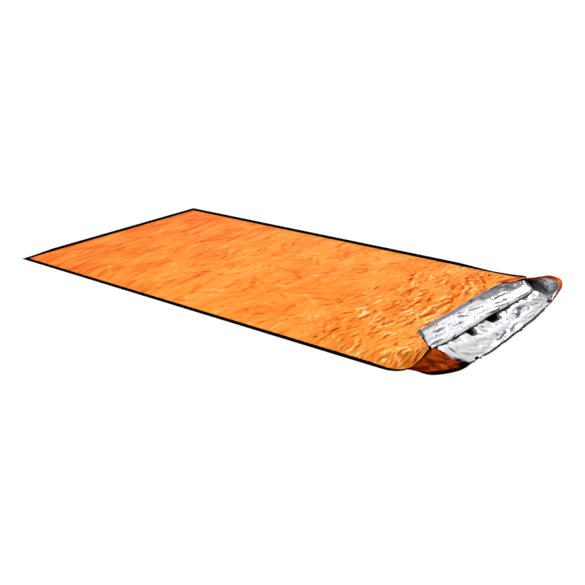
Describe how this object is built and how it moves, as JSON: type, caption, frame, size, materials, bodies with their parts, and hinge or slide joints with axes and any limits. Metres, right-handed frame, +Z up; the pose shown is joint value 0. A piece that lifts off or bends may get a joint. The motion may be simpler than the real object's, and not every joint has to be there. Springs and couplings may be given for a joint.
{
  "type": "bivvy bag",
  "caption": "Flat foil-lined orange bivvy bag, bound with black tape on both sides and the foot, its open mouth turned back as a silver cuff.",
  "frame": {"origin": "centre of the bag's box on the surface that it lies on", "axes": "+X runs along the bag from the foot to the open mouth, +Y across it, +Z up"},
  "size_m": [1.9054, 1, 0.0772],
  "materials": {
    "outer_film": "thin orange film with a soft gloss, creased all over",
    "inner_film": "metallised silver film, bright and crumpled",
    "binding_tape": "matt black woven tape, folded over the edge and sewn"
  },
  "bodies": {
    "root": {"bottom_sheet": "inner_film", "top_sheet": "outer_film", "side_binding_near": "binding_tape", "side_binding_far": "binding_tape", "foot_binding": "binding_tape"}
  },
  "joints": []
}
